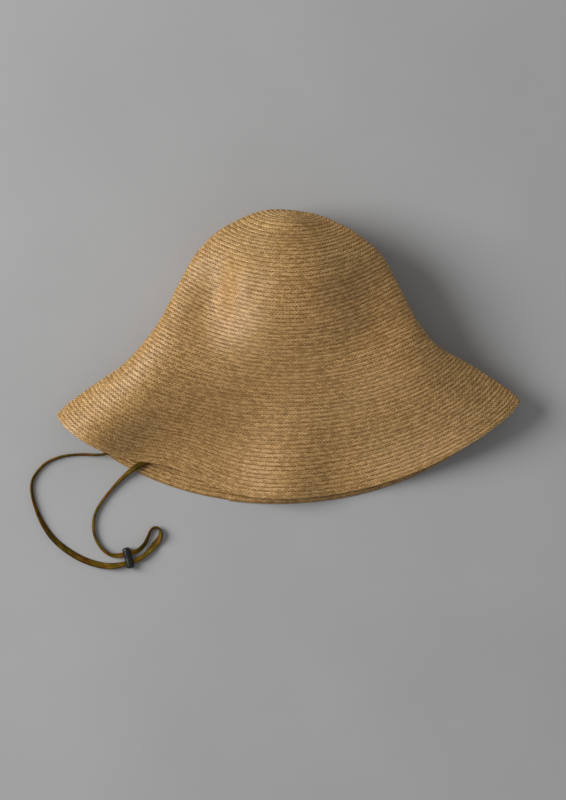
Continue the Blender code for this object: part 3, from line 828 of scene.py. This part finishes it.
def build_tab(side, ribbon, thread):
    """A ribbon folded over the end of the lace, its fold towards the crown, sewn with a box."""
    middle = math.radians(TAB_ANGLES[side])
    end = HEAD_LINE - TAB_ABOVE_HEAD_LINE
    thickness = TAB_THICKNESS
    near = TAB_NEAR + thickness / 2
    far = near + TAB_GAP + thickness
    radius = (far - near) / 2
    path = [(end - k * 0.6, near) for k in range(24)]
    turn = [math.pi * k / 8 for k in range(1, 8)]
    path += [(path[-1][0] - radius * math.sin(a), near + radius - radius * math.cos(a)) for a in turn]
    path += [(distance, far) for distance, _ in path[:24][::-1]]
    path = np.array(path)
    heading = unit(np.gradient(path, axis=0))
    sideways = np.stack([-heading[:, 1], heading[:, 0]], -1)
    along = length_along(path)
    rib = 0.07 * np.where(np.arange(len(path)) % 2 == 0, 1.0, -1.0)
    per_radian = mm_per_radian(end, middle)
    side_edge = TAB_HALF_WIDTH
    ring = [(-side_edge, 0.7), (0.3 - side_edge, 1), (-2.4, 1), (0, 1), (2.4, 1), (side_edge - 0.3, 1),
            (side_edge, 0.7)]
    ring += [(x, -t) for x, t in reversed(ring)]
    places = []
    uvs = []
    for x, t in ring:
        moved = path + sideways * (t * (thickness / 2 + rib * (abs(t) == 1)))[:, None]
        places.append(below_face(moved[:, 0], np.full(len(path), middle + x / per_radian), moved[:, 1]))
        uvs.append(np.stack([along, np.full(len(path), x)], -1))
    data = mesh_from_rows("tab", np.stack(places, axis=1), uv=np.stack(uvs, axis=1))
    add_piece("cord_tab_fold_" + side, data, ribbon, node="cord_tab_" + side)
    top, bottom = end - 12.5, end - 1.5
    deep = far + thickness / 2
    corners = [(-3.6, top), (3.6, top), (3.6, bottom), (-3.6, bottom), (-3.6, top)]
    runs = list(zip(corners, corners[1:])) + [(corners[0], corners[2]), (corners[1], corners[3])]
    stitches = []
    for (x0, d0), (x1, d1) in runs:
        u = np.linspace(0, 1, 30)
        path, normals = inside_path(d0 + (d1 - d0) * u, middle + (x0 + (x1 - x0) * u) / per_radian,
                                    deep)
        stitches += stitch_row(path, normals, 1.5, 0.8, 0.2)
    build_stitches("cord_tab_stitches_" + side, stitches, thread)


def build_floor():
    n = Nodes("pale floor")
    soft = n.noise(n.position(), 6.0, 4)
    colour = n.ramp(soft, [(0.3, 0.40), (0.7, 0.43)])
    finish = n.finish(colour, 0.9)
    size = FLOOR_HALF_SIZE
    data = bpy.data.meshes.new("floor")
    corners = [(-size, -size, 0), (size, -size, 0), (size, size, 0), (-size, size, 0)]
    data.from_pydata(corners, [], [(0, 1, 2, 3)])
    data.materials.append(finish)
    floor = bpy.data.objects.new("floor", data)
    bpy.context.collection.objects.link(floor)


def build_window():
    """A large soft light from the left, aimed at the hat."""
    data = bpy.data.lights.new("window", "AREA")
    data.shape = "DISK"
    data.size = WINDOW_SIZE
    data.energy = WINDOW_POWER
    lamp = bpy.data.objects.new("window", data)
    lamp.location = WINDOW_PLACE
    lamp.rotation_euler = (-Vector(WINDOW_PLACE)).to_track_quat("-Z", "Y").to_euler()
    bpy.context.collection.objects.link(lamp)


def build_camera():
    data = bpy.data.cameras.new("camera")
    data.sensor_width = 36.0
    data.lens = data.sensor_width * CAMERA_HEIGHT / VIEW_HEIGHT
    data.clip_end = 20.0
    camera = bpy.data.objects.new("camera", data)
    camera.location = (*VIEW_CENTRE, CAMERA_HEIGHT)
    bpy.context.collection.objects.link(camera)
    bpy.context.scene.camera = camera


def build_world():
    world = bpy.data.worlds.new("studio")
    world.use_nodes = True
    background = world.node_tree.nodes["Background"]
    background.inputs["Color"].default_value = (1, 1, 1, 1)
    background.inputs["Strength"].default_value = SKY_STRENGTH
    bpy.context.scene.world = world


# ---------------------------------------------------------------------------------- making

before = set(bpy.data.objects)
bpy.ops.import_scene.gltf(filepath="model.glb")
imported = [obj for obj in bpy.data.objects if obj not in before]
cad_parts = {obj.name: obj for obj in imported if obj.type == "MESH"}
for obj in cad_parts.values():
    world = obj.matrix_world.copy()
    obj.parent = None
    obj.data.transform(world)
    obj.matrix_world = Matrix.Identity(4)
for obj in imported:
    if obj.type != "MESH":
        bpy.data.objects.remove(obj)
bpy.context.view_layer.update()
bpy.context.scene.view_settings.view_transform = "Standard"

build_camera()
build_world()
build_floor()
build_window()

straw = straw_material()
ribbon = ribbon_material()

lace, lace_line, lace_length = build_lace(lace_material())
bead = build_bead(bead_material())

angles, along = braid_line()
split = int(np.searchsorted(row_top(angles) + ROW, HEAD_LINE))
build_braid("crown_braid", angles[: split + 1], along[: split + 1], 0, "crown", straw)
build_braid("brim_braid", angles[split:], along[split:], split, "brim", straw)

thread = thread_material()
build_sweatband(ribbon, thread)
build_join(ribbon, thread)
build_label(label_material(), thread)
for side in TAB_ANGLES:
    build_tab(side, ribbon, thread)
